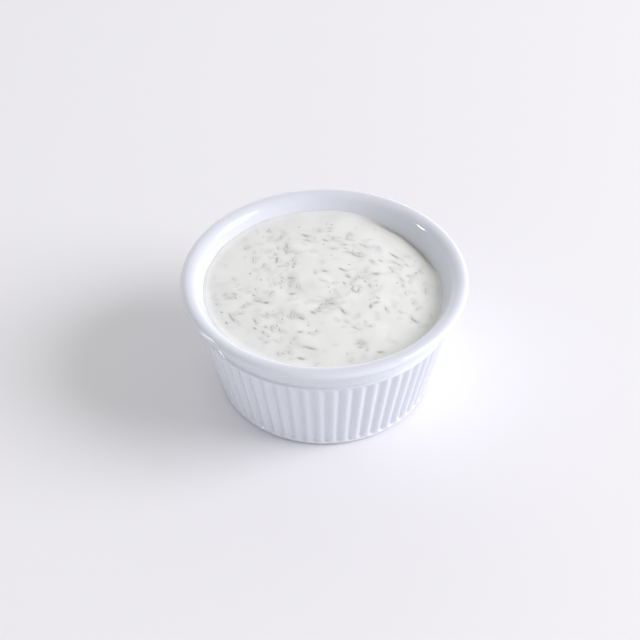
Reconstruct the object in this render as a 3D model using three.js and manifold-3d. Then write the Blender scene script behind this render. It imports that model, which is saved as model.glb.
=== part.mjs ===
// Tzatziki in a ribbed white ramekin: the moulded pot, and the dip that fills it up to just
// under the lip, with chopped dill lying on its surface. Millimetres, +Z up, the foot on z = 0
// and the pot's axis on the Z axis.

import * as THREE from "three";
import { mergeVertices } from "three/addons/utils/BufferGeometryUtils.js";
import Module from "manifold-3d";

const wasm = await Module();
wasm.setup();

// Pot
const rimRadius = 37; // outermost reach of the rolled lip
const rimHeight = 34;
const crestRadius = 35.3; // where the lip is highest
const beadHalfHeight = 1.35; // the lip's outer roll
const lipInnerRadius = 29.6; // where the lip's inner slope meets the straight inner wall
const lipStart = 27.4; // the height of that
const lipRound = 3.3; // radius of its inner shoulder
const lipSlope = 60; // degrees at the shoulder's lower end, and below it
const neckRadius = 32.6; // plain band tucked under the roll
const neckHeight = 30.0;
const neckRound = 1.1; // height of the hollow curve from the neck out to the lip
const bandRadius = 32.8; // the same band where the ribs begin
const bandHeight = 25.75;
const footRadius = 27.7;
const footEdge = { width: 2.1, height: 1.1 }; // rounded under, so that the pot stands on a smaller ring
const recessRadius = 22.5; // hollow under the foot ring
const recessDepth = 0.8;
const floorHeight = 3.4;
const floorRadius = 26.2;
const floorRound = 3;

// Ribs: rounded reeds down the wall, which tapers. The valleys between them are pressed into it,
// and run out in a plain ring at both ends.
const ribCount = 58;
const ribTurn = 3.5; // degrees that the rib nearest the front stands to the right of it
const ribRelief = 0.85; // depth of the valleys
const ribRoundness = 1.5; // 1 for sharp valleys, more for round ones
const wallLow = { r: 27.75, z: 1.25 }; // the ribs' crests at their lower and upper ends
const wallHigh = { r: 33.37, z: 25.3 };
const lowEnd = [[0, 0], [0.9, 1]]; // height above the lower end, and the share of the depth there
const highEnd = [[0.9, 1], [0.35, 0.6], [0.1, 0]]; // the same below the upper end
const ledge = { r: 33.3, z: 25.45 }; // the wall's upper edge, which stands out a little from the band

// Dip
const dipRadius = 30.5;
const dipLevel = 30.1; // near the wall
const wallGap = 0.3;
const moundHeight = 1.1;
const peak = { x: -2.0, y: 0.2, height: 0.35, spread: 2.6 };
const swirl = { depth: 0.12, pitch: 8.5, reach: 13, from: 1.5, full: 5 };
const dimple = { x: -0.3, y: -6.9, depth: 0.25, spread: 1.7 };
const ripples = [
  { height: 0.05, across: 1, along: 0.61, sway: 1.3, shift: 0, turned: false },
  { height: 0.05, across: 0.83, along: 0.47, sway: 1.7, shift: 2, turned: true },
];
const rippleLength = 9.5;
const edgeClimb = { height: 0.25, from: 28.7, to: 31.2 }; // up the wall
const lean = { bearing: 12, halfAngle: 78, depth: 1.4, from: 14 }; // the side that lies lower
// where it has slid down the wall besides
const slump = { bearing: 42, halfAngle: 36, flat: 0.28, depth: 0.85, width: 2.2, edge: 0.4 };

// Dill, chopped to flakes and short threads
const dill = {
  seed: 41,
  shortest: 1.0,
  longest: 3.4,
  narrowest: 0.5,
  widest: 0.9,
  height: 0.28, // of a flake above its middle plane
  sink: 0.08, // of that plane below the dip's surface
  shortOnes: 3.2, // how much commoner short flakes are than long ones
  bend: 0.25, // sideways, as a share of the length
  clearOfWall: 1.6,
  spacing: 0.5, // least distance between two, as a share of their mean length
  apart: 0.35, // and on top of that
};

// The plainest pieces on top: where each lies, its length and its heading.
const strands = [
  [-0.4, -7.6, 2.2, 25],
  [6.2, 2.9, 1.7, -40],
  [4.8, 5.6, 2.7, -30],
  [0.2, 5.1, 1.6, -20],
  [-8.2, -3.5, 1.7, 0],
  [-8.5, 2.5, 2.2, -10],
  [-6.2, -17.9, 1.5, 0],
  [-5.8, -12.8, 1.8, -25],
  [-2.9, -10.9, 1.6, -30],
  [4.6, -10.1, 2.9, -60],
  [-3.7, -23.5, 3.7, -20],
  [-5.9, -27.0, 2.3, -10],
  [13.8, -24.9, 1.9, 5],
  [22.7, -12.9, 2.9, -40],
  [13.2, -7.2, 1.5, 20],
  [11.8, -8.5, 1.6, 80],
  [7.7, -2.9, 1.8, -20],
  [18.4, 12.2, 3.6, -45],
  [13.4, 4.1, 1.6, 10],
  [8.0, 11.9, 2.0, -30],
  [-12.3, 10.0, 2.8, 85],
  [-14.8, -6.8, 1.5, 0],
  [-23.5, -11.6, 3.8, -65],
  [-4.9, 20.3, 2.4, -25],
];

// Drifts, where turns of the spoon gathered the rest: where each lies, how wide it is, how many
// pieces it holds and which way they point.
const drifts = [
  { x: 0, y: 0, spread: 27.5, count: 26, heading: 0, scatter: 180 },
  { x: 7, y: 14.5, spread: 4.5, count: 9, heading: -5, scatter: 40 },
  { x: 11, y: 9.5, spread: 4, count: 5, heading: -30, scatter: 25 },
  { x: -12.5, y: 11.5, spread: 6, count: 12, heading: 60, scatter: 90 },
  { x: 9, y: 0.5, spread: 3.2, count: 6, heading: 65, scatter: 60 },
  { x: 0.2, y: -7.2, spread: 2.1, count: 7, heading: 10, scatter: 90 },
  { x: -9.8, y: 1, spread: 3, count: 4, heading: 85, scatter: 25 },
  { x: -14, y: -14, spread: 4.5, count: 9, heading: -45, scatter: 60 },
  { x: -22, y: -6, spread: 5.5, count: 8, heading: 0, scatter: 60 },
  { x: -9, y: -25, spread: 3.5, count: 4, heading: -60, scatter: 40 },
  { x: 7, y: -22, spread: 7, count: 5, heading: -10, scatter: 40 },
  { x: 21, y: -4, spread: 6.5, count: 6, heading: 80, scatter: 60 },
  { x: 19, y: 8, spread: 6, count: 6, heading: -60, scatter: 50 },
  { x: -1, y: 21, spread: 4.5, count: 7, heading: -20, scatter: 60 },
];

// Points round a ring: the ribs' own rows have four to a rib, and the plain rows need fewer.
const ribColumns = 4 * ribCount;
const rimColumns = 2 * ribCount;
const bowlColumns = ribCount;
const surfaceRings = 14;
const flakeSides = 4;
// How thick a flake is at each station along it; one under longFlake has fewer stations.
const longFlake = 1.6;
const longStations = [[-0.5, 0], [-0.28, 0.85], [0.05, 1], [0.33, 0.75], [0.5, 0]];
const shortStations = [[-0.5, 0], [-0.2, 1], [0.24, 0.9], [0.5, 0]];

const rad = THREE.MathUtils.degToRad;
const ribBearing = rad(-90 + ribTurn);

// Repeatable random numbers from 0 to 1.
function randomNumbers(seed) {
  let state = seed;
  return () => {
    state = (state + 0x6d2b79f5) | 0;
    let mixed = Math.imul(state ^ (state >>> 15), 1 | state);
    mixed = (mixed + Math.imul(mixed ^ (mixed >>> 7), 61 | mixed)) ^ mixed;
    return ((mixed ^ (mixed >>> 14)) >>> 0) / 4294967296;
  };
}

// 0 below a, 1 above b, smooth between.
function smooth(a, b, value) {
  return THREE.MathUtils.smoothstep(value, a, b);
}

// Points of an ellipse's arc in the (radius, height) plane.
function arc(centreR, centreZ, halfWidth, halfHeight, from, to, steps) {
  const points = [];
  for (let i = 0; i <= steps; i += 1) {
    const angle = rad(from + ((to - from) * i) / steps);
    points.push([centreR + halfWidth * Math.cos(angle), centreZ + halfHeight * Math.sin(angle)]);
  }
  return points;
}

// A closed surface through rings of points about Z, listed from the middle of the underside
// outwards, up and back in to the middle. place gives a ring's radius and height at a bearing.
// Two neighbouring rings may have different numbers of points, and the end rings have one.
function ringSurface(rings) {
  const positions = [];
  const index = [];
  const rows = rings.map(({ count, place }) => {
    const first = positions.length / 3;
    for (let k = 0; k < count; k += 1) {
      const bearing = ribBearing + (2 * Math.PI * k) / count;
      const [r, z] = place(bearing);
      positions.push(r * Math.cos(bearing), r * Math.sin(bearing), z);
    }
    return { first, count };
  });
  for (let i = 0; i + 1 < rows.length; i += 1) {
    const [low, high] = [rows[i], rows[i + 1]];
    const lowSteps = low.count === 1 ? 0 : low.count;
    const highSteps = high.count === 1 ? 0 : high.count;
    let a = 0;
    let b = 0;
    while (a < lowSteps || b < highSteps) {
      const onLow = low.first + (a % low.count);
      const onHigh = high.first + (b % high.count);
      const lowIsNext = b === highSteps || (a < lowSteps && (a + 1) / lowSteps <= (b + 1) / highSteps);
      if (lowIsNext) {
        a += 1;
        index.push(onLow, low.first + (a % low.count), onHigh);
      } else {
        b += 1;
        index.push(onLow, high.first + (b % high.count), onHigh);
      }
    }
  }
  return geometryOf(positions, index);
}

function geometryOf(positions, index) {
  const geometry = new THREE.BufferGeometry();
  geometry.setAttribute("position", new THREE.Float32BufferAttribute(positions, 3));
  geometry.setIndex(index);
  return geometry;
}

// Plain rings, one at each point of a profile.
function plainRings(profile, count) {
  return profile.map(([r, z]) => ({ count: r === 0 ? 1 : count, place: () => [r, z] }));
}

// A closed geometry as a solid that can be joined to others.
function solid(geometry) {
  const merged = mergeVertices(geometry, 1e-4);
  const vertProperties = Float32Array.from(merged.attributes.position.array);
  const triVerts = Uint32Array.from(merged.index.array);
  return new wasm.Manifold(new wasm.Mesh({ numProp: 3, vertProperties, triVerts }));
}

function meshOf(body, name, material) {
  const made = body.getMesh();
  const geometry = geometryOf(made.vertProperties, Array.from(made.triVerts));
  geometry.computeVertexNormals();
  const mesh = new THREE.Mesh(geometry, material);
  mesh.name = name;
  return mesh;
}

// The bowl below the lip: a flat floor, a rounded corner and a straight tapering wall up to top.
// inset moves it all inwards, for what fills it.
function bowlProfile(inset, top) {
  const corner = floorRound - inset;
  const floor = floorHeight + inset;
  const taper = (lipInnerRadius - floorRadius) / (lipStart - floorHeight - floorRound);
  const cornerRadius = floorRadius - inset;
  const topRadius = cornerRadius + taper * (top - floor - corner);
  return [
    [0, floor],
    ...arc(cornerRadius - corner, floor + corner, corner, corner, -90, 0, 4),
    [topRadius, top],
  ];
}

// One row of the ribbed wall: its height, and how much of the valleys' depth it has.
function ribRow(z, share) {
  const rise = (z - wallLow.z) / (wallHigh.z - wallLow.z);
  const crest = wallLow.r + (wallHigh.r - wallLow.r) * rise;
  const place = (bearing) => {
    const turns = (ribCount * (bearing - ribBearing)) / (2 * Math.PI);
    const across = 2 * Math.abs(turns - Math.round(turns)); // 0 on a crest, 1 in a valley
    const crown = (1 - across * across) ** ribRoundness;
    return [crest - share * ribRelief * (1 - crown), z];
  };
  return { count: ribColumns, place };
}

function pot() {
  const foot = [
    [recessRadius + recessDepth, 0],
    ...arc(footRadius - footEdge.width, footEdge.height, footEdge.width, footEdge.height, -90, 0, 3),
  ];
  const ribs = [
    ...lowEnd.map(([above, share]) => ribRow(wallLow.z + above, share)),
    ...highEnd.map(([below, share]) => ribRow(wallHigh.z - below, share)),
  ];
  const bead = { r: crestRadius, z: rimHeight - beadHalfHeight, width: rimRadius - crestRadius };
  const neckAndLip = [
    [ledge.r, ledge.z],
    [bandRadius, bandHeight],
    ...arc(crestRadius, neckHeight, crestRadius - neckRadius, neckRound, 180, 115, 2),
    ...arc(bead.r, bead.z, bead.width, beadHalfHeight, -70, 90, 8),
  ];
  const shoulder = arc(crestRadius, rimHeight - lipRound, lipRound, lipRound, 90, 90 + lipSlope, 5);
  const inside = [...shoulder.slice(1), ...bowlProfile(0, lipStart).reverse()];
  return ringSurface([
    ...plainRings([[0, recessDepth], [recessRadius, recessDepth]], bowlColumns),
    ...plainRings(foot, rimColumns),
    ...ribs,
    ...plainRings(neckAndLip, rimColumns),
    ...plainRings(inside, bowlColumns),
  ]);
}

// Height of the dip's surface over a point.
function dipTop(x, y) {
  const r = Math.hypot(x, y);
  const bearing = THREE.MathUtils.radToDeg(Math.atan2(y, x));
  const share = Math.min(r / dipRadius, 1);
  let z = dipLevel + moundHeight * (1 - share * share);

  // the spoon's last turn: a small peak, and a furrow winding out from it
  const fromPeak = Math.hypot(x - peak.x, y - peak.y);
  const around = Math.atan2(y - peak.y, x - peak.x);
  z += peak.height * Math.exp(-((fromPeak / peak.spread) ** 2));
  const winding = (2 * Math.PI * fromPeak) / swirl.pitch + around;
  const fading = smooth(swirl.from, swirl.full, fromPeak) * Math.exp(-((fromPeak / swirl.reach) ** 2));
  z += swirl.depth * Math.cos(winding) * fading;

  const fromDimple = Math.hypot(x - dimple.x, y - dimple.y);
  z -= dimple.depth * Math.exp(-((fromDimple / dimple.spread) ** 2));

  const wave = (2 * Math.PI) / rippleLength;
  for (const { height, across, along, sway, shift, turned } of ripples) {
    const [u, v] = turned ? [y, x] : [x, y];
    z += height * Math.sin(wave * across * u + sway * Math.sin(wave * along * v + shift));
  }

  z += edgeClimb.height * smooth(edgeClimb.from, edgeClimb.to, r) ** 2;
  const offLean = Math.abs(bearing - lean.bearing) / lean.halfAngle;
  z -= lean.depth * (1 - smooth(0, 1, offLean)) * smooth(lean.from, dipRadius, r);
  const offSlump = Math.abs(bearing - slump.bearing) / slump.halfAngle;
  const nearWall = smooth(dipRadius - slump.width, dipRadius - slump.edge, r);
  return z - slump.depth * (1 - smooth(slump.flat, 1, offSlump)) * nearWall;
}

// How far out the dip's surface reaches at a bearing, up the lip's inner slope.
function dipEdge(bearing) {
  const slope = rad(lipSlope);
  let r = dipRadius;
  for (let pass = 0; pass < 3; pass += 1) {
    const z = dipTop(r * Math.cos(bearing), r * Math.sin(bearing));
    r = lipInnerRadius + (z - lipStart) / Math.tan(slope) - wallGap / Math.sin(slope);
  }
  return r;
}

// The dip without its dill: the bowl's shape up to the lip's slope, then its surface.
function dipBody() {
  const below = bowlProfile(wallGap, lipStart);
  const surface = [];
  for (let ring = surfaceRings; ring > 0; ring -= 1) {
    const place = (bearing) => {
      const r = (dipEdge(bearing) * ring) / surfaceRings;
      return [r, dipTop(r * Math.cos(bearing), r * Math.sin(bearing))];
    };
    surface.push({ count: ring > 2 ? bowlColumns : bowlColumns / 2, place });
  }
  surface.push({ count: 1, place: () => [0, dipTop(0, 0)] });
  return ringSurface([...plainRings(below, bowlColumns), ...surface]);
}

// Where every flake lies, its heading, length, width and bend: the strands, then drift by drift.
function dillFlakes() {
  const random = randomNumbers(dill.seed);
  const flakes = strands.map(([x, y, length, heading]) => {
    return { x, y, heading: rad(heading), length, width: dill.widest, bend: dill.bend / 2 };
  });
  for (const drift of drifts) {
    for (let i = 0; i < drift.count; i += 1) {
      const bearing = 2 * Math.PI * random();
      const distance = drift.spread * Math.sqrt(random());
      const heading = rad(drift.heading + drift.scatter * (random() - 0.5));
      const size = random();
      const width = dill.narrowest + (dill.widest - dill.narrowest) * random();
      const bend = 2 * dill.bend * (random() - 0.5);
      const x = drift.x + distance * Math.cos(bearing);
      const y = drift.y + distance * Math.sin(bearing);
      const length = dill.shortest + (dill.longest - dill.shortest) * size ** dill.shortOnes;
      const tooFarOut = Math.hypot(x, y) + length / 2 > dipRadius - dill.clearOfWall;
      const crowded = flakes.some((other) => {
        const least = (dill.spacing * (other.length + length)) / 2 + dill.apart;
        return Math.hypot(other.x - x, other.y - y) < least;
      });
      if (!tooFarOut && !crowded) flakes.push({ x, y, heading, length, width, bend });
    }
  }
  return flakes;
}

// One flake: a slim spindle of square section, bent sideways, that follows the dip's surface.
function flakeGeometry({ x, y, heading, length, width, bend }) {
  const positions = [];
  const stations = length < longFlake ? shortStations : longStations;
  const rows = stations.map(([along, size]) => {
    const first = positions.length / 3;
    const count = size === 0 ? 1 : flakeSides;
    for (let k = 0; k < count; k += 1) {
      const turn = (2 * Math.PI * k) / flakeSides;
      const u = along * length;
      const v = (size * width * Math.cos(turn)) / 2 + bend * along * along * length;
      const px = x + u * Math.cos(heading) - v * Math.sin(heading);
      const py = y + u * Math.sin(heading) + v * Math.cos(heading);
      positions.push(px, py, dipTop(px, py) - dill.sink + size * dill.height * Math.sin(turn));
    }
    return { first, count };
  });
  const index = [];
  for (let i = 0; i + 1 < rows.length; i += 1) {
    const [a, b] = [rows[i], rows[i + 1]];
    for (let k = 0; k < flakeSides; k += 1) {
      const next = (k + 1) % flakeSides;
      const onB = b.first + (b.count > 1 ? k : 0);
      const onA = a.first + (a.count > 1 ? next : 0);
      if (a.count > 1) index.push(a.first + k, a.first + next, onB);
      if (b.count > 1) index.push(onB, onA, b.first + next);
    }
  }
  return geometryOf(positions, index);
}

function dip() {
  const flakes = dillFlakes().map((flake) => solid(flakeGeometry(flake)));
  return wasm.Manifold.union([solid(dipBody()), ...flakes]);
}

const melamine = new THREE.MeshStandardMaterial({ color: 0xe4e6f0, roughness: 0.22, metalness: 0 });
const yoghurt = new THREE.MeshStandardMaterial({ color: 0xecebe2, roughness: 0.45, metalness: 0 });

const tzatziki = new THREE.Group();
tzatziki.add(meshOf(solid(pot()), "ramekin", melamine));
tzatziki.add(meshOf(dip(), "dip", yoghurt));

export default tzatziki;
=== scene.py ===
# Tzatziki in a ribbed white ramekin: the moulded pot, the dip and its chopped dill.
import math

import bpy
import numpy as np
from mathutils import Matrix, Vector


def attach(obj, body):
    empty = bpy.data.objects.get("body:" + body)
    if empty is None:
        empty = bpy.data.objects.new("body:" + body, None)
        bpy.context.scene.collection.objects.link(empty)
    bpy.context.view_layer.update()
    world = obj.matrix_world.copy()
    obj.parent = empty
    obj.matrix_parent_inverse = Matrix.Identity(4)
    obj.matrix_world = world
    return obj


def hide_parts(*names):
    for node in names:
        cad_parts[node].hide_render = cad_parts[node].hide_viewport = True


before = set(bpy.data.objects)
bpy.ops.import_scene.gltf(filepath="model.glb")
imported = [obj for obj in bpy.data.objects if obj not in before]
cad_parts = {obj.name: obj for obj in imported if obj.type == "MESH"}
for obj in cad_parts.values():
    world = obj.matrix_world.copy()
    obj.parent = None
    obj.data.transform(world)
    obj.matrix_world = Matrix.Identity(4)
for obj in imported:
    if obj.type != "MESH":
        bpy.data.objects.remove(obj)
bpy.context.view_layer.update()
mm = 0.001


# small tools shared by every piece
def linear(hexCode):  # sRGB hex to linear red, green and blue, and alpha
    channels = [int(hexCode[i:i + 2], 16) / 255 for i in (1, 3, 5)]
    return [c / 12.92 if c <= 0.04045 else ((c + 0.055) / 1.055) ** 2.4 for c in channels] + [1.0]


def addNode(tree, kind, settings=None, inputs=None):
    node = tree.nodes.new(kind)
    for name, value in (settings or {}).items():
        setattr(node, name, value)
    for key, value in (inputs or {}).items():
        if isinstance(value, bpy.types.NodeSocket):
            tree.links.new(value, node.inputs[key])
        else:
            node.inputs[key].default_value = value
    return node


def newMaterial(name):
    material = bpy.data.materials.new(name)
    material.use_nodes = True
    tree = material.node_tree
    tree.nodes.clear()
    return material, tree


# Repeatable numbers from 0 to 1, the same draws as the solids have: the mulberry32 generator, whose
# fixed numbers mix the 32 bits of its state.
def randomNumbers(seed):
    state = [seed]

    def draw():
        state[0] = (state[0] + 0x6D2B79F5) & 0xFFFFFFFF
        mixed = ((state[0] ^ (state[0] >> 15)) * (1 | state[0])) & 0xFFFFFFFF
        mixed = (mixed + (mixed ^ (mixed >> 7)) * (61 | mixed)) & 0xFFFFFFFF ^ mixed
        return (mixed ^ (mixed >> 14)) / 4294967296

    return draw


def smooth(low, high, value):
    t = np.clip((value - low) / (high - low), 0, 1)
    return t * t * (3 - 2 * t)


def between(pair, share):
    return pair[0] + (pair[1] - pair[0]) * share


def arc(centreR, centreZ, halfWidth, halfHeight, start, end, steps):  # in degrees: 0 outwards, 90 up
    angles = np.radians(np.linspace(start, end, steps + 1))
    return [(centreR + halfWidth * math.cos(a), centreZ + halfHeight * math.sin(a)) for a in angles]


# A closed mesh through rings of points about Z, from the middle of the underside outwards, up and
# back in. The points are millimetres, in one array of rings x columns x 3, with a pole at each end.
def ringMesh(name, rings, lowPole, highPole):
    count, columns = rings.shape[:2]
    points = np.concatenate([rings.reshape(-1, 3), [lowPole, highPole]]) * mm
    column = np.arange(columns)
    after = (column + 1) % columns
    faces = []
    for ring in range(count - 1):
        low, high = ring * columns, (ring + 1) * columns
        faces += np.stack([low + column, low + after, high + after, high + column], 1).tolist()
    last = (count - 1) * columns
    faces += [[count * columns, b, a] for a, b in zip(column.tolist(), after.tolist())]
    faces += [[last + a, last + b, count * columns + 1] for a, b in zip(column.tolist(), after.tolist())]
    mesh = bpy.data.meshes.new(name)
    mesh.from_pydata(points.tolist(), [], faces)
    mesh.shade_smooth()
    mesh.update()
    return mesh


def newPiece(name, mesh, material):
    piece = bpy.data.objects.new(name, mesh)
    bpy.context.scene.collection.objects.link(piece)
    mesh.materials.clear()
    mesh.materials.append(material)
    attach(piece, "root")
    return piece


def geometryTree(name, numbers):  # numbers: the names of its inputs that are numbers
    tree = bpy.data.node_groups.new(name, "GeometryNodeTree")
    tree.interface.new_socket("Geometry", in_out="INPUT", socket_type="NodeSocketGeometry")
    for label in numbers:
        tree.interface.new_socket(label, in_out="INPUT", socket_type="NodeSocketFloat")
    tree.interface.new_socket("Material", in_out="INPUT", socket_type="NodeSocketMaterial")
    tree.interface.new_socket("Geometry", in_out="OUTPUT", socket_type="NodeSocketGeometry")
    return tree


def grown(mesh, tree, values):  # the mesh that a tree of geometry nodes makes of another
    holder = bpy.data.objects.new(mesh.name + "Source", mesh)
    bpy.context.scene.collection.objects.link(holder)
    modifier = holder.modifiers.new("grow", "NODES")
    modifier.node_group = tree
    for socket in tree.interface.items_tree:
        if socket.in_out == "INPUT" and socket.name in values:
            modifier[socket.identifier] = values[socket.name]
    bpy.context.view_layer.update()
    made = bpy.data.meshes.new_from_object(holder.evaluated_get(bpy.context.evaluated_depsgraph_get()))
    holder.modifiers.clear()
    bpy.data.objects.remove(holder)
    return made


# camera: a long lens from the front, a little above forty degrees
cameraSetup = {
    "aim": (0.0, 0.0, 16.65),  # mm
    "distance": 518.0,
    "elevation": 42.13,
    "roll": -0.56,
    "lens": 111.13,
    "sensor": 36.0,
    "shift": (-0.0076, 0.0091),
    "clip": (0.01, 20.0),  # m
}


def placeCamera(setup):
    data = bpy.data.cameras.new("camera")
    data.lens, data.sensor_width = setup["lens"], setup["sensor"]
    data.shift_x, data.shift_y = setup["shift"]
    data.clip_start, data.clip_end = setup["clip"]
    camera = bpy.data.objects.new("camera", data)
    bpy.context.scene.collection.objects.link(camera)
    rise = math.radians(setup["elevation"])
    back = Vector((0, -math.cos(rise), math.sin(rise)))
    camera.location = (Vector(setup["aim"]) + back * setup["distance"]) * mm
    facing = back.to_track_quat("Z", "Y").to_matrix()
    camera.rotation_euler = (facing @ Matrix.Rotation(math.radians(setup["roll"]), 3, "Z")).to_euler()
    bpy.context.scene.camera = camera


placeCamera(cameraSetup)
print("camera placed")


# light: one broad soft lamp from the right, pale walls all round, two small lamps on the left
lighting = {
    "overhead": 0.44,  # the ceiling is dimmer than the walls
    "fall": 2.0,  # how fast the walls darken upwards
    "walls": 0.15,  # how much brighter every wall is low down
    "backAndFront": 1.65,  # what the two pale walls add to that
    "back": 0.49,  # and the one at the back more than the one in front
    "fillColour": "#fffffd",
    "key": {"bearing": -6, "elevation": 32, "distance": 1.8, "width": 1.25, "power": 28.0},
    # these two only glint: a narrow bright window, seen in the gloss of the lip
    "high": {"bearing": 177.5, "elevation": 27, "distance": 0.9, "width": 0.12, "power": 2.2},
    "low": {"bearing": 178, "elevation": 2, "distance": 0.9, "width": 0.1, "power": 2.2},
    "lampColour": "#fdfbff",
}


def addLamp(name, setup, colour):
    data = bpy.data.lights.new(name, "AREA")
    data.shape, data.size = "DISK", setup["width"]
    data.energy, data.color = setup["power"], linear(colour)[:3]
    lamp = bpy.data.objects.new(name, data)
    bpy.context.scene.collection.objects.link(lamp)
    bearing, rise = math.radians(setup["bearing"]), math.radians(setup["elevation"])
    out = Vector((math.cos(rise) * math.cos(bearing), math.cos(rise) * math.sin(bearing), math.sin(rise)))
    lamp.location = out * setup["distance"]
    lamp.rotation_euler = out.to_track_quat("Z", "Y").to_euler()
    return lamp


def setLighting(setup):
    world = bpy.data.worlds.new("studio")
    world.use_nodes = True
    tree = world.node_tree
    tree.nodes.clear()
    towards = addNode(tree, "ShaderNodeTexCoord").outputs["Generated"]
    _, back, up = addNode(tree, "ShaderNodeSeparateXYZ", None, {0: towards}).outputs
    down = addNode(tree, "ShaderNodeMath", {"operation": "SUBTRACT", "use_clamp": True}, {0: 1.0, 1: up})
    lowness = addNode(tree, "ShaderNodeMath", {"operation": "POWER"}, {
        0: down.outputs[0], 1: setup["fall"],
    })
    across = addNode(tree, "ShaderNodeMath", {"operation": "ABSOLUTE"}, {0: back})
    both = addNode(tree, "ShaderNodeMath", {"operation": "MULTIPLY_ADD"}, {
        0: across.outputs[0], 1: setup["backAndFront"], 2: setup["walls"],
    })
    wall = addNode(tree, "ShaderNodeMath", {"operation": "MULTIPLY_ADD"}, {
        0: back, 1: setup["back"], 2: both.outputs[0],
    })
    strength = addNode(tree, "ShaderNodeMath", {"operation": "MULTIPLY_ADD"}, {
        0: wall.outputs[0], 1: lowness.outputs[0], 2: setup["overhead"],
    })
    background = addNode(tree, "ShaderNodeBackground", None, {
        "Color": linear(setup["fillColour"]), "Strength": strength.outputs[0],
    })
    addNode(tree, "ShaderNodeOutputWorld", None, {"Surface": background.outputs[0]})
    bpy.context.scene.world = world
    addLamp("keyLamp", setup["key"], setup["lampColour"])
    glintOnly = bpy.data.collections.new("glintOnly")  # the pieces that the two small lamps reach
    for name in ("high", "low"):
        lamp = addLamp(name + "Lamp", setup[name], setup["lampColour"])
        lamp.visible_diffuse = False
        lamp.light_linking.receiver_collection = glintOnly
    bpy.context.scene.view_settings.view_transform = "Standard"
    return glintOnly


glintOnly = setLighting(lighting)


# floor: matt painted board
floorSetup = {
    "halfSide": 1.6,  # m
    "colour": "#edecf0",
    "roughness": 0.75,
    "shine": 0.2,
    "mottle": 16.667,  # mm across
    "bump": 0.02,
    "bumpDepth": 0.2,  # mm
}


def makeFloor(setup):
    material, tree = newMaterial("matt painted board")  # even and pale, with no shine of its own
    place = addNode(tree, "ShaderNodeTexCoord")
    grain = addNode(tree, "ShaderNodeTexNoise", None, {
        "Vector": place.outputs["Object"], "Scale": 1000 / setup["mottle"],
    })
    bump = addNode(tree, "ShaderNodeBump", None, {
        "Height": grain.outputs["Fac"], "Strength": setup["bump"], "Distance": setup["bumpDepth"] * mm,
    })
    shader = addNode(tree, "ShaderNodeBsdfPrincipled", None, {
        "Base Color": linear(setup["colour"]), "Roughness": setup["roughness"],
        "Specular IOR Level": setup["shine"], "Normal": bump.outputs["Normal"],
    })
    addNode(tree, "ShaderNodeOutputMaterial", None, {"Surface": shader.outputs["BSDF"]})
    half = setup["halfSide"]
    mesh = bpy.data.meshes.new("floor")
    corners = [(-half, -half, 0), (half, -half, 0), (half, half, 0), (-half, half, 0)]
    mesh.from_pydata(corners, [], [(0, 1, 2, 3)])
    mesh.materials.append(material)
    floor = bpy.data.objects.new("floor", mesh)
    bpy.context.scene.collection.objects.link(floor)


makeFloor(floorSetup)
print("floor and lights placed")


# ramekin: pressed melamine, white with a breath of blue
pot = {  # millimetres
    "rimRadius": 37.0, "rimHeight": 34.0, "crestRadius": 35.3, "beadHalfHeight": 1.35,
    "lipInnerRadius": 29.6, "lipStart": 27.4, "lipRound": 3.3, "lipSlope": 60.0,  # degrees
    "neckRadius": 32.6, "neckHeight": 30.0, "neckRound": 1.1,
    "bandRadius": 32.8, "bandHeight": 25.75, "bandStep": (0.04, 0.05), "bandEdge": 0.2,
    "wallLow": (27.75, 1.25), "wallHigh": (33.37, 25.3), "ledgeRound": 0.22,
    "footRadius": 27.7, "footEdge": (2.1, 1.1),  # width and height of its rounded lower edge
    "recessRadius": 22.5, "recessDepth": 0.8, "recessInset": 0.1, "recessRound": 0.4,
    "recessFlare": 0.9, "recessEdge": (0.35, 0.3),  # width and height of the foot ring's inner edge
    "floorHeight": 3.4, "floorRadius": 26.2, "floorRound": 3.0, "floorMiddle": 12.0,
}
ribs = {
    "count": 58,
    "turn": math.radians(-90 + 3.5),
    "relief": 0.85,  # mm that the valleys lie below the ribs
    "roundness": 1.5,  # 1 for sharp valleys, more for round ones
    "endLength": 1.0,  # mm in which a valley runs out
    "plainEnd": 0.22,  # mm of plain ring beyond it
    "steps": 12,  # round each rib
    "endRings": (0.0, 0.12, 0.24, 0.36, 0.5, 0.66, 0.84, 1.04, 1.3),  # mm from each end of the wall
    "middleFrom": 3.4,  # mm from each end
    "middleRings": 7,
    "lean": 0.2,  # a little less than the wall leans out for each millimetre of height
    "within": 1.0,  # mm inwards of the wall's lower end that still count as the outer wall
}
potLook = {
    "colour": "#dadce6",
    "shade": "#d6d9e4",
    "roughness": (0.07, 0.12),
    "ior": 1.4,
    "unevenness": 7.0,  # mm across, the slow waver of a moulded wall
    "unevenDepth": 0.02,  # mm
    "fineGrain": 0.35,  # mm
    "fineDepth": 0.0004,  # mm
}


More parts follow.
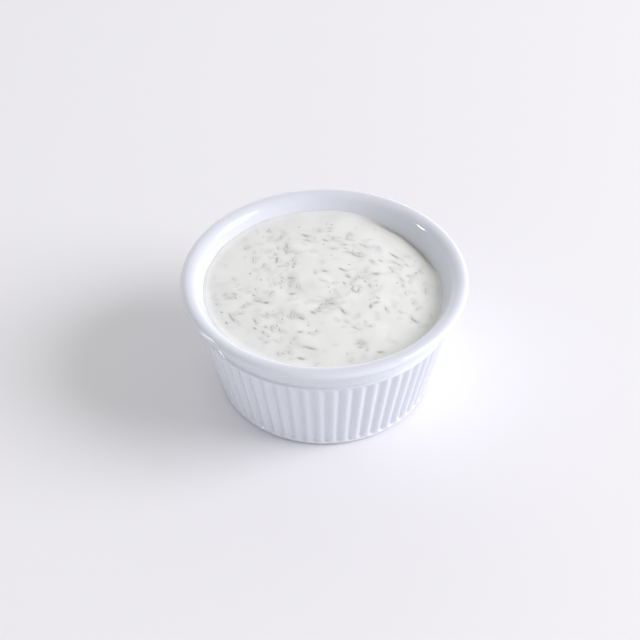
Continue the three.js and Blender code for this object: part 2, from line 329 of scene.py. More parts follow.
# Radius and height of the pot's section, from the underside's middle outwards, up and back in. Its
# arcs say from where to where they turn, and straight stretches have a few rings at shares of them.
def potProfile(p):
    recessR, recessZ, rounding = p["recessRadius"], p["recessDepth"], p["recessRound"]
    recess = [(recessR / 2, recessZ), (recessR - rounding, recessZ)]
    recess += arc(recessR - p["recessInset"], recessZ - rounding, rounding, rounding, 90, 20, 4)
    edgeWidth, edgeHeight = p["recessEdge"]
    recess += arc(recessR + p["recessFlare"], edgeHeight, edgeWidth, edgeHeight, 200, 270, 4)
    edgeWidth, edgeHeight = p["footEdge"]
    foot = arc(p["footRadius"] - edgeWidth, edgeHeight, edgeWidth, edgeHeight, -90, 0, 8)
    (lowR, lowZ), (highR, highZ) = p["wallLow"], p["wallHigh"]
    ends, inset = ribs["endRings"], ribs["middleFrom"]
    middle = np.linspace(lowZ + inset, highZ - inset, ribs["middleRings"]).tolist()
    heights = [lowZ + e for e in ends] + middle + [highZ - e for e in reversed(ends)]
    wall = [(lowR + (highR - lowR) * (z - lowZ) / (highZ - lowZ), z) for z in heights]
    rounding = p["ledgeRound"]
    ledge = arc(highR - rounding, highZ, rounding, rounding, 15, 70, 4)
    bandR, bandZ, neckR, neckZ = p["bandRadius"], p["bandHeight"], p["neckRadius"], p["neckHeight"]
    stepOut, stepDown = p["bandStep"]
    band = [(bandR + stepOut, bandZ - stepDown), (bandR, bandZ + p["bandEdge"])]
    band += [(between((bandR, neckR), s), between((bandZ, neckZ), s)) for s in (0.2, 0.5, 0.8)]
    crestR, rimZ, halfHeight, lipRound = p["crestRadius"], p["rimHeight"], p["beadHalfHeight"], p["lipRound"]
    neck = arc(crestR, neckZ, crestR - neckR, p["neckRound"], 180, 112, 6)
    bead = arc(crestR, rimZ - halfHeight, p["rimRadius"] - crestR, halfHeight, -78, 90, 24)
    shoulder = arc(crestR, rimZ - lipRound, lipRound, lipRound, 90, 90 + p["lipSlope"], 16)
    endR, endZ = shoulder[-1]
    lipR, lipZ = p["lipInnerRadius"], p["lipStart"]
    slope = [(between((endR, lipR), s), between((endZ, lipZ), s)) for s in (0.3, 0.6, 0.9, 1.0)]
    floorR, floorZ, corner = p["floorRadius"], p["floorHeight"], p["floorRound"]
    inside = [(between((floorR, lipR), s), between((floorZ + corner, lipZ), s)) for s in (0.85, 0.5, 0.2)]
    floor = arc(floorR - corner, floorZ + corner, corner, corner, 0, -90, 6)
    outer = recess + foot + wall + ledge + band + neck + bead
    return outer + shoulder[1:] + slope + inside + floor + [(p["floorMiddle"], floorZ)]


def wallRadius(z):  # of the pot's inner wall
    lowR, lowZ = pot["floorRadius"], pot["floorHeight"] + pot["floorRound"]
    lipR, lipZ = pot["lipInnerRadius"], pot["lipStart"]
    straight = lowR + (lipR - lowR) * (z - lowZ) / (lipZ - lowZ)
    flared = lipR + (z - lipZ) / math.tan(math.radians(pot["lipSlope"]))
    return np.where(z < lipZ, straight, flared)


def ribTree():  # presses the valleys between the ribs into a plain turned wall
    tree = geometryTree("pressedRibs", [
        "Count", "Turn", "Relief", "Roundness", "Low", "High", "End Length", "Outside",
    ])
    given = addNode(tree, "NodeGroupInput").outputs
    place = addNode(tree, "GeometryNodeInputPosition").outputs[0]
    x, y, z = addNode(tree, "ShaderNodeSeparateXYZ", None, {0: place}).outputs
    made = {"x": x, "y": y, "z": z}
    made.update({socket.name: socket for socket in given})
    steps = [  # the new value's name, the operation, and what it works on
        ("angle", "ARCTAN2", "y", "x"),
        ("bearing", "SUBTRACT", "angle", "Turn"),
        ("ribsPerRadian", "DIVIDE", "Count", 2 * math.pi),
        ("ribsPassed", "MULTIPLY", "bearing", "ribsPerRadian"),
        ("positive", "ADD", "ribsPassed", 0.5 + 100),  # half a rib, and whole ones to stay above 0
        ("fraction", "FRACT", "positive"),
        ("phase", "SUBTRACT", "fraction", 0.5),  # -0.5 to 0.5, 0 on a crest
        ("offCrest", "ABSOLUTE", "phase"),
        ("across", "MULTIPLY", "offCrest", 2.0),
        ("acrossSquared", "MULTIPLY", "across", "across"),
        ("hump", "SUBTRACT", 1.0, "acrossSquared"),
        ("crown", "POWER", "hump", "Roundness"),
        ("valley", "SUBTRACT", 1.0, "crown"),
        ("fromLow", "SUBTRACT", "z", "Low"),  # each valley runs out in a quarter round
        ("fromHigh", "SUBTRACT", "High", "z"),
        ("fromEnd", "MINIMUM", "fromLow", "fromHigh"),
        ("endShare", "DIVIDE", "fromEnd", "End Length"),
        ("atLeastNone", "MAXIMUM", "endShare", 0.0),
        ("atMostAll", "MINIMUM", "atLeastNone", 1.0),
        ("nearEnd", "SUBTRACT", 1.0, "atMostAll"),
        ("nearSquared", "MULTIPLY", "nearEnd", "nearEnd"),
        ("openSquared", "SUBTRACT", 1.0, "nearSquared"),
        ("opened", "SQRT", "openSquared"),
        ("xSquared", "MULTIPLY", "x", "x"),
        ("ySquared", "MULTIPLY", "y", "y"),
        ("radiusSquared", "ADD", "xSquared", "ySquared"),
        ("radius", "SQRT", "radiusSquared"),
        ("lean", "MULTIPLY", "z", ribs["lean"]),  # less this, the wall is beyond Outside, its inside not
        ("upright", "SUBTRACT", "radius", "lean"),
        ("outer", "GREATER_THAN", "upright", "Outside"),
        ("outerRelief", "MULTIPLY", "outer", "Relief"),
        ("openValley", "MULTIPLY", "valley", "opened"),
        ("depth", "MULTIPLY", "openValley", "outerRelief"),
        ("inwards", "MULTIPLY", "depth", -1.0),
        ("awayFromAxis", "MAXIMUM", "radius", 0.001),
        ("shrink", "DIVIDE", "inwards", "awayFromAxis"),
        ("moveX", "MULTIPLY", "x", "shrink"),
        ("moveY", "MULTIPLY", "y", "shrink"),
    ]
    for name, operation, *terms in steps:
        inputs = {i: made.get(term, term) for i, term in enumerate(terms)}
        made[name] = addNode(tree, "ShaderNodeMath", {"operation": operation}, inputs).outputs[0]
    offset = addNode(tree, "ShaderNodeCombineXYZ", None, {0: made["moveX"], 1: made["moveY"]})
    moved = addNode(tree, "GeometryNodeSetPosition", None, {
        "Geometry": given["Geometry"], "Offset": offset.outputs[0],
    })
    real = addNode(tree, "GeometryNodeRealizeInstances", None, {"Geometry": moved.outputs[0]})
    done = addNode(tree, "GeometryNodeSetMaterial", None, {
        "Geometry": real.outputs[0], "Material": given["Material"],
    })
    addNode(tree, "NodeGroupOutput", None, {"Geometry": done.outputs[0]})
    return tree


def potMaterial(look):
    # pressed melamine: hard, evenly white and glossy, with the slow waver of a moulded wall
    material, tree = newMaterial("pressed melamine")
    place = addNode(tree, "ShaderNodeTexCoord")
    slow = addNode(tree, "ShaderNodeTexNoise", None, {
        "Vector": place.outputs["Object"], "Scale": 1000 / look["unevenness"], "Detail": 1.0,
    })
    fine = addNode(tree, "ShaderNodeTexNoise", None, {
        "Vector": place.outputs["Object"], "Scale": 1000 / look["fineGrain"], "Detail": 2.0,
    })
    tone = addNode(tree, "ShaderNodeMix", {"data_type": "RGBA"}, {
        "Factor": slow.outputs["Fac"], 6: linear(look["colour"]), 7: linear(look["shade"]),
    })
    smoothest, roughest = look["roughness"]
    gloss = addNode(tree, "ShaderNodeMapRange", None, {
        "Value": fine.outputs["Fac"], "To Min": smoothest, "To Max": roughest,
    })
    waver = addNode(tree, "ShaderNodeBump", None, {
        "Height": slow.outputs["Fac"], "Strength": 1.0, "Distance": look["unevenDepth"] * mm,
    })
    grain = addNode(tree, "ShaderNodeBump", None, {
        "Height": fine.outputs["Fac"], "Strength": 1.0, "Distance": look["fineDepth"] * mm,
        "Normal": waver.outputs["Normal"],
    })
    shader = addNode(tree, "ShaderNodeBsdfPrincipled", None, {
        "Base Color": tone.outputs[2], "Roughness": gloss.outputs["Result"], "IOR": look["ior"],
        "Normal": grain.outputs["Normal"],
    })
    addNode(tree, "ShaderNodeOutputMaterial", None, {"Surface": shader.outputs["BSDF"]})
    return material


def makeRamekin():
    profile = np.array(potProfile(pot))
    columns = ribs["count"] * ribs["steps"]
    bearings = ribs["turn"] + 2 * math.pi * np.arange(columns) / columns
    cosines, sines = np.cos(bearings), np.sin(bearings)
    rings = np.stack([
        profile[:, :1] * cosines, profile[:, :1] * sines,
        np.repeat(profile[:, 1:], columns, 1),
    ], -1)
    turned = ringMesh("turnedPot", rings, (0, 0, pot["recessDepth"]), (0, 0, pot["floorHeight"]))
    material = potMaterial(potLook)
    mesh = grown(turned, ribTree(), {
        "Count": float(ribs["count"]), "Turn": ribs["turn"], "Relief": ribs["relief"] * mm,
        "Roundness": ribs["roundness"], "Low": (pot["wallLow"][1] + ribs["plainEnd"]) * mm,
        "High": (pot["wallHigh"][1] - ribs["plainEnd"]) * mm, "End Length": ribs["endLength"] * mm,
        "Outside": (pot["wallLow"][0] - ribs["within"]) * mm, "Material": material,
    })
    mesh.name = "ramekin"
    piece = newPiece("ramekinShell", mesh, material)
    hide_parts("ramekin")
    return piece


ramekin = makeRamekin()
glintOnly.objects.link(ramekin)
print("ramekin turned and ribbed:", len(ramekin.data.polygons), "faces")


# dip: thick yoghurt, the spoon's last turn still in it
dip = {  # millimetres
    "radius": 30.5, "level": 30.1, "mound": 1.1, "wallTouch": 0.03, "intoWall": 0.35,
    "peak": {"x": -2.0, "y": 0.2, "height": 0.35, "spread": 2.6},
    "swirl": {"depth": 0.12, "pitch": 8.5, "reach": 13, "from": 1.5, "full": 5},
    "dimple": {"x": -0.3, "y": -6.9, "depth": 0.25, "spread": 1.7},
    "rippleLength": 9.5,
    "ripples": [
        {"height": 0.05, "across": 1, "along": 0.61, "sway": 1.3, "shift": 0, "turned": False},
        {"height": 0.05, "across": 0.83, "along": 0.47, "sway": 1.7, "shift": 2, "turned": True},
    ],
    "climb": {"height": 0.25, "from": 28.7, "to": 31.2},  # up the wall
    "lean": {"bearing": 12, "halfAngle": 78, "depth": 1.4, "from": 14},  # the side that lies lower
    "slump": {"bearing": 42, "halfAngle": 36, "flat": 0.28, "depth": 0.85, "width": 2.2, "edge": 0.4},
    "rings": 112, "columns": 480,
    "gap": 0.15, "hiddenMiddle": 12.0, "hiddenHeights": (16.0, 24.0, 27.5),  # under the surface
}
dill = {
    "seed": 41, "shortest": 1.0, "longest": 3.4, "narrowest": 0.5, "widest": 0.9,
    "height": 0.28, "sink": 0.08, "shortOnes": 3.2, "bend": 0.25, "clearOfWall": 1.6,
    "spacing": 0.5, "apart": 0.35,
}
strands = [  # x, y, length, heading: the plainest pieces on top
    (-0.4, -7.6, 2.2, 25), (6.2, 2.9, 1.7, -40), (4.8, 5.6, 2.7, -30), (0.2, 5.1, 1.6, -20),
    (-8.2, -3.5, 1.7, 0), (-8.5, 2.5, 2.2, -10), (-6.2, -17.9, 1.5, 0), (-5.8, -12.8, 1.8, -25),
    (-2.9, -10.9, 1.6, -30), (4.6, -10.1, 2.9, -60), (-3.7, -23.5, 3.7, -20), (-5.9, -27.0, 2.3, -10),
    (13.8, -24.9, 1.9, 5), (22.7, -12.9, 2.9, -40), (13.2, -7.2, 1.5, 20), (11.8, -8.5, 1.6, 80),
    (7.7, -2.9, 1.8, -20), (18.4, 12.2, 3.6, -45), (13.4, 4.1, 1.6, 10), (8.0, 11.9, 2.0, -30),
    (-12.3, 10.0, 2.8, 85), (-14.8, -6.8, 1.5, 0), (-23.5, -11.6, 3.8, -65), (-4.9, 20.3, 2.4, -25),
]
drifts = [  # x, y, spread, count, heading, scatter: where turns of the spoon gathered the rest
    (0, 0, 27.5, 26, 0, 180), (7, 14.5, 4.5, 9, -5, 40), (11, 9.5, 4, 5, -30, 25),
    (-12.5, 11.5, 6, 12, 60, 90), (9, 0.5, 3.2, 6, 65, 60), (0.2, -7.2, 2.1, 7, 10, 90),
    (-9.8, 1, 3, 4, 85, 25), (-14, -14, 4.5, 9, -45, 60), (-22, -6, 5.5, 8, 0, 60),
    (-9, -25, 3.5, 4, -60, 40), (7, -22, 7, 5, -10, 40), (21, -4, 6.5, 6, 80, 60),
    (19, 8, 6, 6, -60, 50), (-1, 21, 4.5, 7, -20, 60),
]


def dipTop(x, y):  # height of the dip's surface, in millimetres
    r = np.hypot(x, y)
    share = np.minimum(r / dip["radius"], 1)
    z = dip["level"] + dip["mound"] * (1 - share * share)
    peak, swirl, dimple, lean, slump = (dip[name] for name in ("peak", "swirl", "dimple", "lean", "slump"))
    fromPeak = np.hypot(x - peak["x"], y - peak["y"])
    around = np.arctan2(y - peak["y"], x - peak["x"])
    z = z + peak["height"] * np.exp(-((fromPeak / peak["spread"]) ** 2))
    fading = smooth(swirl["from"], swirl["full"], fromPeak) * np.exp(-((fromPeak / swirl["reach"]) ** 2))
    z = z + swirl["depth"] * np.cos(2 * math.pi * fromPeak / swirl["pitch"] + around) * fading
    fromDimple = np.hypot(x - dimple["x"], y - dimple["y"])
    z = z - dimple["depth"] * np.exp(-((fromDimple / dimple["spread"]) ** 2))
    wave = 2 * math.pi / dip["rippleLength"]
    for one in dip["ripples"]:
        u, v = (y, x) if one["turned"] else (x, y)
        z = z + one["height"] * np.sin(
            wave * one["across"] * u + one["sway"] * np.sin(wave * one["along"] * v + one["shift"]))
    z = z + dip["climb"]["height"] * smooth(dip["climb"]["from"], dip["climb"]["to"], r) ** 2
    bearing = np.degrees(np.arctan2(y, x))
    offLean = np.abs(bearing - lean["bearing"]) / lean["halfAngle"]
    z = z - lean["depth"] * (1 - smooth(0, 1, offLean)) * smooth(lean["from"], dip["radius"], r)
    offSlump = np.abs(bearing - slump["bearing"]) / slump["halfAngle"]
    nearWall = smooth(dip["radius"] - slump["width"], dip["radius"] - slump["edge"], r)
    return z - slump["depth"] * (1 - smooth(slump["flat"], 1, offSlump)) * nearWall


def dillFlakes():  # where every flake lies, in the solids' own order of draws
    random = randomNumbers(dill["seed"])
    flakes = [
        {"x": x, "y": y, "heading": math.radians(heading), "length": length,
         "width": dill["widest"], "bend": dill["bend"] / 2, "plain": True}
        for x, y, length, heading in strands
    ]
    for centreX, centreY, spread, count, aim, scatter in drifts:
        for _ in range(count):
            bearing = 2 * math.pi * random()
            distance = spread * math.sqrt(random())
            heading = math.radians(aim + scatter * (random() - 0.5))
            size = random()
            width = dill["narrowest"] + (dill["widest"] - dill["narrowest"]) * random()
            bend = 2 * dill["bend"] * (random() - 0.5)
            x, y = centreX + distance * math.cos(bearing), centreY + distance * math.sin(bearing)
            length = dill["shortest"] + (dill["longest"] - dill["shortest"]) * size ** dill["shortOnes"]
            if math.hypot(x, y) + length / 2 > dip["radius"] - dill["clearOfWall"]:
                continue
            if any(math.hypot(one["x"] - x, one["y"] - y)
                   < dill["spacing"] * (one["length"] + length) / 2 + dill["apart"] for one in flakes):
                continue
            flakes.append({"x": x, "y": y, "heading": heading, "length": length,
                           "width": width, "bend": bend, "plain": False})
    return flakes


flakes = dillFlakes()
print("dill flakes:", len(flakes))


# more dill under the surface: a yoghurt film leaves soft grey-green shadows of it
sunk = {
    "seed": 97, "loose": 1.5, "looseSpread": 29.0, "spreadMore": 2.5, "clearOfWall": 0.6,
    "backmost": 24.0,  # mm, the dip is clean beyond it
    "kinds": [  # flakes, and then wider smudges
        {"count": 320, "length": (0.5, 2.4), "blur": (0.35, 0.8), "strength": (0.06, 0.26)},
        {"count": 26, "length": (1.6, 4.2), "blur": (0.9, 1.7), "strength": (0.04, 0.11)},
    ],
    "halo": 0.26, "haloBlur": 0.6, "haloLength": 0.8,  # round each flake on top
}
creviceShade = {  # painted shade: the dip's colour darkened towards the wall at the back right, in the crevice where it slid off the wall
    "bearing": 43, "halfAngle": 34, "flat": 0.3, "width": 5.0, "strength": 0.55,
}
lumps = {  # grated cucumber under the surface
    "seed": 12, "count": 240, "length": (1.4, 4.0), "width": (0.7, 1.5), "height": (-0.02, 0.03),
    "reach": 29.0, "clearOfWall": 2.0,
}


# A drift, the fuller the likelier. With "loose" at 1 all lie in the drifts, at 1.5 a third lie anywhere.
def pickDrift(random, setup):
    pick = random() * sum(drift[3] for drift in drifts) * setup["loose"]
    for drift in drifts:
        pick -= drift[3]
        if pick < 0:
            return drift
    return (0, 0, setup["looseSpread"], 0, 0, 180)


def sunkFlakes():  # x, y, heading, length, blur, strength
    random = randomNumbers(sunk["seed"])
    found = []
    for kind in sunk["kinds"]:
        for _ in range(kind["count"]):
            centreX, centreY, spread, _, aim, scatter = pickDrift(random, sunk)
            bearing = 2 * math.pi * random()
            distance = (spread + sunk["spreadMore"]) * math.sqrt(random())
            x, y = centreX + distance * math.cos(bearing), centreY + distance * math.sin(bearing)
            heading = math.radians(aim + scatter * (random() - 0.5))
            length = between(kind["length"], random() ** 2)
            blur = between(kind["blur"], random())
            strength = between(kind["strength"], random())
            if math.hypot(x, y) < dip["radius"] - sunk["clearOfWall"] and y < sunk["backmost"]:
                found.append((x, y, heading, length, blur, strength))
    return found


def fromStroke(x, y, stroke):  # distance of points from a short straight stroke, in millimetres
    centreX, centreY, heading, length = stroke[:4]
    u = (x - centreX) * math.cos(heading) + (y - centreY) * math.sin(heading)
    v = (y - centreY) * math.cos(heading) - (x - centreX) * math.sin(heading)
    return np.hypot(np.maximum(np.abs(u) - length / 2, 0), v)


def herbTint(x, y):  # how much dill shows through at each point, 0 to 1
    clear = np.ones_like(x)
    for stroke in sunkFlakes():
        clear *= 1 - stroke[5] * np.exp(-((fromStroke(x, y, stroke) / stroke[4]) ** 2))
    for flake in flakes:
        stroke = (flake["x"], flake["y"], flake["heading"], flake["length"] * sunk["haloLength"])
        clear *= 1 - sunk["halo"] * np.exp(-((fromStroke(x, y, stroke) / sunk["haloBlur"]) ** 2))
    return 1 - clear


def creviceShadeTint(x, y):  # how much painted shade each point takes, 0 to 1
    offCreviceShade = np.abs(np.degrees(np.arctan2(y, x)) - creviceShade["bearing"]) / creviceShade["halfAngle"]
    nearWall = smooth(creviceShade["width"], 0, wallRadius(dipTop(x, y)) - np.hypot(x, y))
    return creviceShade["strength"] * (1 - smooth(creviceShade["flat"], 1, offCreviceShade)) * nearWall


def lumpRelief(x, y):
    random = randomNumbers(lumps["seed"])
    z = np.zeros_like(x)
    for _ in range(lumps["count"]):
        bearing, distance = 2 * math.pi * random(), lumps["reach"] * math.sqrt(random())
        heading = math.pi * random()
        length, width = between(lumps["length"], random()), between(lumps["width"], random())
        height = between(lumps["height"], random())
        stroke = (distance * math.cos(bearing), distance * math.sin(bearing), heading, length)
        z += height * np.exp(-((fromStroke(x, y, stroke) / width) ** 2))
    return z


dipLook = {
    "colour": "#ebebea",
    "whey": "#e3e4e2",  # thinner, a little greener
    "herb": "#a3a7a3",
    # painted shade: the colour the dip takes in the crevice by the wall
    "creviceShade": "#aaa599",
    "roughness": (0.36, 0.48),
    "ior": 1.36,
    "noiseSpan": (0.3, 0.7),  # a noise's values beyond these count as these
    "brokenUp": (0.75, 1.2),  # how the curd's grain breaks up the dill's tint
    "patch": 6.0,  # mm, the size of the paler and greener patches
    "grain": 0.55,  # mm, the fine grain of strained curd
    "grainDepth": 0.012,  # mm
    "milkiness": 0.35,
    "through": 1.3,  # mm that light travels inside
    "throughShares": (1.0, 0.9, 0.72),  # of that, for red, green and blue
}


def dipMaterial(look):
    # strained yoghurt with dill: satin and moist, light sinks in a little, creamy with greenish patches, and
    # painted shade darkening it in the crevice at the back right
    material, tree = newMaterial("strained yoghurt with dill")
    place = addNode(tree, "ShaderNodeTexCoord").outputs["Object"]
    patch = addNode(tree, "ShaderNodeTexNoise", None, {
        "Vector": place, "Scale": 1000 / look["patch"], "Detail": 2.0,
    })
    curd = addNode(tree, "ShaderNodeTexNoise", None, {
        "Vector": place, "Scale": 1000 / look["grain"], "Detail": 3.0,
    })
    cream = addNode(tree, "ShaderNodeMix", {"data_type": "RGBA"}, {
        "Factor": patch.outputs["Fac"], 6: linear(look["colour"]), 7: linear(look["whey"]),
    })
    herb = addNode(tree, "ShaderNodeAttribute", {"attribute_name": "herb"})
    spanLow, spanHigh = look["noiseSpan"]
    faintest, strongest = look["brokenUp"]
    broken = addNode(tree, "ShaderNodeMapRange", None, {
        "Value": curd.outputs["Fac"], "From Min": spanLow, "From Max": spanHigh,
        "To Min": faintest, "To Max": strongest,
    })
    tint = addNode(tree, "ShaderNodeMath", {"operation": "MULTIPLY", "use_clamp": True}, {
        0: herb.outputs["Fac"], 1: broken.outputs["Result"],
    })
    colour = addNode(tree, "ShaderNodeMix", {"data_type": "RGBA"}, {
        "Factor": tint.outputs[0], 6: cream.outputs[2], 7: linear(look["herb"]),
    })
    # painted shade: mixed in towards the wall in the crevice at the back right
    creviceShadeMask = addNode(tree, "ShaderNodeAttribute", {"attribute_name": "creviceShade"})
    darkened = addNode(tree, "ShaderNodeMix", {"data_type": "RGBA"}, {
        "Factor": creviceShadeMask.outputs["Fac"], 6: colour.outputs[2], 7: linear(look["creviceShade"]),
    })
    smoothest, roughest = look["roughness"]
    gloss = addNode(tree, "ShaderNodeMapRange", None, {
        "Value": patch.outputs["Fac"], "From Min": spanLow, "From Max": spanHigh,
        "To Min": smoothest, "To Max": roughest,
    })
    bump = addNode(tree, "ShaderNodeBump", None, {
        "Height": curd.outputs["Fac"], "Strength": 1.0, "Distance": look["grainDepth"] * mm,
    })
    shader = addNode(tree, "ShaderNodeBsdfPrincipled", None, {
        "Base Color": darkened.outputs[2], "Roughness": gloss.outputs["Result"], "IOR": look["ior"],
        "Subsurface Weight": look["milkiness"], "Subsurface Radius": look["throughShares"],
        "Subsurface Scale": look["through"] * mm, "Normal": bump.outputs["Normal"],
    })
    addNode(tree, "ShaderNodeOutputMaterial", None, {"Surface": shader.outputs["BSDF"]})
    return material


def makeDip():
    bearings = 2 * math.pi * np.arange(dip["columns"]) / dip["columns"]
    cosines, sines = np.cos(bearings), np.sin(bearings)
    edge = np.full(dip["columns"], dip["radius"])
    for _ in range(4):  # closer each time to where the surface meets the wall
        edge = wallRadius(dipTop(edge * cosines, edge * sines)) + dip["wallTouch"]
    gap, floor, corner = dip["gap"], pot["floorHeight"], pot["floorRound"]
    hidden = [(dip["hiddenMiddle"], floor + gap)]
    hidden += arc(pot["floorRadius"] - corner, floor + corner, corner - gap, corner - gap, -90, 0, 4)
    hidden += [(float(wallRadius(z)) - gap, z) for z in dip["hiddenHeights"]]
    rings = [np.stack([r * cosines, r * sines, np.full(dip["columns"], z)], -1) for r, z in hidden]
    contact = dipTop(edge * cosines, edge * sines)
    inWall = edge + dip["intoWall"]  # so that no turned edge shows where the surface meets the wall
    rings.append(np.stack([inWall * cosines, inWall * sines, contact], -1))
    shares = np.linspace(1, 0, dip["rings"] + 1)[:-1]
    for share in shares:
        x, y = edge * share * cosines, edge * share * sines
        relief = lumpRelief(x, y) * smooth(0, lumps["clearOfWall"], edge * (1 - share))
        rings.append(np.stack([x, y, dipTop(x, y) + relief], -1))
    centre = dipTop(0.0, 0.0) + lumpRelief(np.zeros(1), np.zeros(1))[0]
    mesh = ringMesh("dip", np.array(rings), (0, 0, floor + gap), (0, 0, float(centre)))
    points = np.empty(len(mesh.vertices) * 3)
    mesh.vertices.foreach_get("co", points)
    x, y = points[0::3] / mm, points[1::3] / mm
    # the dill showing through, and the painted shade in the crevice
    for name, tint in (("herb", herbTint(x, y)), ("creviceShade", creviceShadeTint(x, y))):
        tint[: len(hidden) * dip["columns"]] = 0
        mesh.attributes.new(name, "FLOAT", "POINT").data.foreach_set("value", tint)
    piece = newPiece("dipFill", mesh, dipMaterial(dipLook))
    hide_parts("dip")
    return piece


dipFill = makeDip()
print("dip filled in:", len(dipFill.data.polygons), "faces")


# dill on the surface: chopped leaf, each piece about three quarters under the yoghurt
flakeShape = {
    "seed": 5, "sides": 8, "stations": 9, "ragged": 0.16, "flatness": 0.6,
    "bluntness": 2.6,  # 2 for round ends, more for blunt ones
    "plainPaleness": (0.1, 0.4), "paleness": (0.5, 1.0),  # of the plainest pieces, and of the rest
    "endsPaler": 0.5, "edgesPaler": 0.3,
}
dillLook = {
    "dark": "#a9aeaa",
    "pale": "#dadcd6",  # where the yoghurt's film is thicker
    "roughness": 0.4,
    "ior": 1.4,
    "film": 0.8,  # mm across, patches of film
    "noiseSpan": (0.35, 0.65),  # the noise's values beyond these count as these
    "filmPaler": 0.3,  # by how much the film makes a patch paler or darker
}


def dillMaterial(look):
    # chopped dill: dull green leaf, wet, under a thin film of yoghurt that greys it
    material, tree = newMaterial("chopped dill")
    place = addNode(tree, "ShaderNodeTexCoord").outputs["Object"]
    film = addNode(tree, "ShaderNodeTexNoise", None, {
        "Vector": place, "Scale": 1000 / look["film"], "Detail": 2.0,
    })
    pallor = addNode(tree, "ShaderNodeAttribute", {"attribute_name": "pallor"})
    spanLow, spanHigh = look["noiseSpan"]
    patches = addNode(tree, "ShaderNodeMapRange", None, {
        "Value": film.outputs["Fac"], "From Min": spanLow, "From Max": spanHigh,
        "To Min": -look["filmPaler"], "To Max": look["filmPaler"],
    })
    share = addNode(tree, "ShaderNodeMath", {"operation": "ADD", "use_clamp": True}, {
        0: pallor.outputs["Fac"], 1: patches.outputs["Result"],
    })
    colour = addNode(tree, "ShaderNodeMix", {"data_type": "RGBA"}, {
        "Factor": share.outputs[0], 6: linear(look["dark"]), 7: linear(look["pale"]),
    })
    shader = addNode(tree, "ShaderNodeBsdfPrincipled", None, {
        "Base Color": colour.outputs[2], "Roughness": look["roughness"], "IOR": look["ior"],
    })
    addNode(tree, "ShaderNodeOutputMaterial", None, {"Surface": shader.outputs["BSDF"]})
    return material


def flakeThickness(along):  # share of the full width and height along a flake, -0.5 to 0.5
    return math.sqrt(max(0.0, 1 - (2 * abs(along)) ** flakeShape["bluntness"]))


def makeFlakes(material):
    random = randomNumbers(flakeShape["seed"])
    points, faces, pallor = [], [], []
    sides, stations = flakeShape["sides"], flakeShape["stations"]
    for flake in flakes:
        paleness = between(flakeShape["plainPaleness" if flake["plain"] else "paleness"], random())
        height = dill["height"] * flakeShape["flatness"]
        first = len(points)
        for i in range(stations):
            along = -0.5 + i / (stations - 1)
            size = flakeThickness(along)
            ragged = 1 + flakeShape["ragged"] * (2 * random() - 1)
            for k in range(sides if size > 0 else 1):
                turn = 2 * math.pi * k / sides
                u = along * flake["length"]
                v = size * ragged * flake["width"] * math.cos(turn) / 2
                v += flake["bend"] * along ** 2 * flake["length"]
                x = flake["x"] + u * math.cos(flake["heading"]) - v * math.sin(flake["heading"])
                y = flake["y"] + u * math.sin(flake["heading"]) + v * math.cos(flake["heading"])
                points.append((x, y, size * height * math.sin(turn) - dill["sink"]))
                paler = flakeShape["endsPaler"] * (1 - size) + flakeShape["edgesPaler"] * abs(math.cos(turn))
                pallor.append(min(1.0, paleness + paler))
        rows = [[first]]
        rows += [[first + 1 + (i * sides) + k for k in range(sides)] for i in range(stations - 2)]
        rows += [[first + 1 + (stations - 2) * sides]]
        for low, high in zip(rows, rows[1:]):
            for k in range(sides):
                after = (k + 1) % sides
                corners = ((low, k), (low, after), (high, after), (high, k))
                faces.append(list(dict.fromkeys(row[n % len(row)] for row, n in corners)))
    points = np.array(points)
    points[:, 2] += dipTop(points[:, 0], points[:, 1])
    mesh = bpy.data.meshes.new("dillFlakes")
    mesh.from_pydata((points * mm).tolist(), [], faces)
    mesh.shade_smooth()
    mesh.attributes.new("pallor", "FLOAT", "POINT").data.foreach_set("value", pallor)
    return newPiece("dillFlakes", mesh, material)


specks = {
    "seed": 23, "count": 80, "loose": 1.3, "looseSpread": 28.5, "spreadTimes": 1.2, "clearOfWall": 1.2,
    "size": (0.4, 0.85), "smallOnes": 1.5,  # mm wide, and more for more small ones
    "flat": 0.5,  # thickness as a share of the width
    "sink": 0.65,  # share of the thickness that is under the surface
    "paleness": (0.35, 1.0),
    "segments": 8, "rings": 5, "lumpy": 0.16, "lumpSize": 0.4, "lumpSeed": 3.0,
}


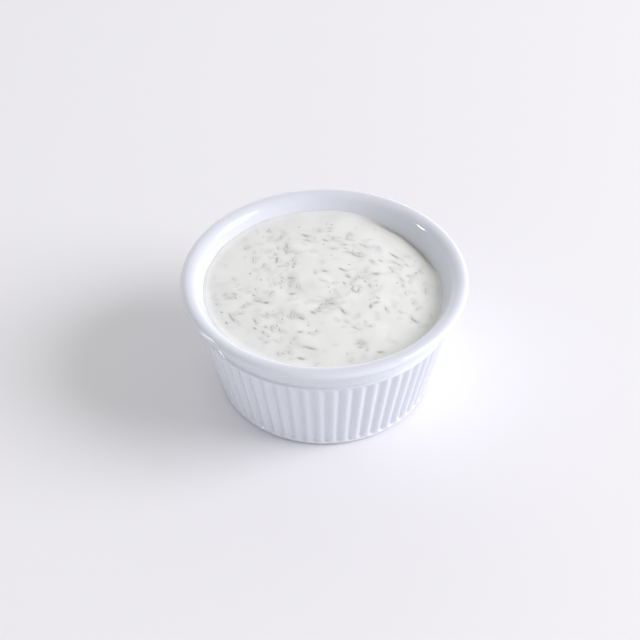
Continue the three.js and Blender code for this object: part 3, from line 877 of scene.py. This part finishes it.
def speckTree():  # a small lumpy bead on each point, turned and sized by the point's own values
    tree = geometryTree("scatteredSpecks", ["Lumpiness", "Lump Size", "Seed"])
    given = addNode(tree, "NodeGroupInput").outputs
    bead = addNode(tree, "GeometryNodeMeshUVSphere", None, {
        "Segments": specks["segments"], "Rings": specks["rings"], "Radius": 0.5,
    })
    turn, size = (
        addNode(tree, "GeometryNodeInputNamedAttribute", {"data_type": "FLOAT_VECTOR"}, {"Name": name})
        for name in ("turn", "size")
    )
    rotation = addNode(tree, "FunctionNodeEulerToRotation", None, {0: turn.outputs[0]})
    placed = addNode(tree, "GeometryNodeInstanceOnPoints", None, {
        "Points": given["Geometry"], "Instance": bead.outputs["Mesh"],
        "Rotation": rotation.outputs[0], "Scale": size.outputs[0],
    })
    real = addNode(tree, "GeometryNodeRealizeInstances", None, {"Geometry": placed.outputs[0]})
    perMetre = addNode(tree, "ShaderNodeMath", {"operation": "DIVIDE"}, {0: 1.0, 1: given["Lump Size"]})
    place = addNode(tree, "GeometryNodeInputPosition")
    noise = addNode(tree, "ShaderNodeTexNoise", {"noise_dimensions": "4D"}, {
        "Vector": place.outputs[0], "W": given["Seed"], "Scale": perMetre.outputs[0], "Detail": 1.0,
    })
    centred = addNode(tree, "ShaderNodeVectorMath", {"operation": "SUBTRACT"}, {
        0: noise.outputs["Color"], 1: (0.5, 0.5, 0.5),
    })
    offset = addNode(tree, "ShaderNodeVectorMath", {"operation": "SCALE"}, {
        0: centred.outputs[0], "Scale": given["Lumpiness"],
    })
    moved = addNode(tree, "GeometryNodeSetPosition", None, {
        "Geometry": real.outputs[0], "Offset": offset.outputs[0],
    })
    even = addNode(tree, "GeometryNodeSetShadeSmooth", None, {"Geometry": moved.outputs[0]})
    done = addNode(tree, "GeometryNodeSetMaterial", None, {
        "Geometry": even.outputs[0], "Material": given["Material"],
    })
    addNode(tree, "NodeGroupOutput", None, {"Geometry": done.outputs[0]})
    return tree


def makeSpecks(material):
    random = randomNumbers(specks["seed"])
    points, turns, sizes, pallor = [], [], [], []
    while len(points) < specks["count"]:
        centreX, centreY, spread = pickDrift(random, specks)[:3]
        bearing, distance = 2 * math.pi * random(), spread * specks["spreadTimes"] * math.sqrt(random())
        x, y = centreX + distance * math.cos(bearing), centreY + distance * math.sin(bearing)
        size = between(specks["size"], random() ** specks["smallOnes"])
        stretch, heading, paleness = random(), random(), random()
        if math.hypot(x, y) > dip["radius"] - specks["clearOfWall"]:
            continue
        thick = size * specks["flat"]
        z = float(dipTop(x, y)) + thick * (0.5 - specks["sink"])
        points.append((x * mm, y * mm, z * mm))
        turns.append((0.0, 0.0, 2 * math.pi * heading))
        sizes.append((size * (1 + stretch) * mm, size * mm, thick * mm))
        pallor.append(between(specks["paleness"], math.sqrt(paleness)))
    cloud = bpy.data.meshes.new("speckPoints")
    cloud.from_pydata(points, [], [])
    cloud.attributes.new("turn", "FLOAT_VECTOR", "POINT").data.foreach_set("vector", np.ravel(turns))
    cloud.attributes.new("size", "FLOAT_VECTOR", "POINT").data.foreach_set("vector", np.ravel(sizes))
    cloud.attributes.new("pallor", "FLOAT", "POINT").data.foreach_set("value", pallor)
    mesh = grown(cloud, speckTree(), {
        "Lumpiness": specks["lumpy"] * mm, "Lump Size": specks["lumpSize"] * mm,
        "Seed": specks["lumpSeed"], "Material": material,
    })
    mesh.name = "dillSpecks"
    return newPiece("dillSpecks", mesh, material)


dillLeaf = dillMaterial(dillLook)
dillFlakePiece = makeFlakes(dillLeaf)
dillSpeckPiece = makeSpecks(dillLeaf)
print("dill laid on:", len(dillFlakePiece.data.polygons), "and", len(dillSpeckPiece.data.polygons), "faces")
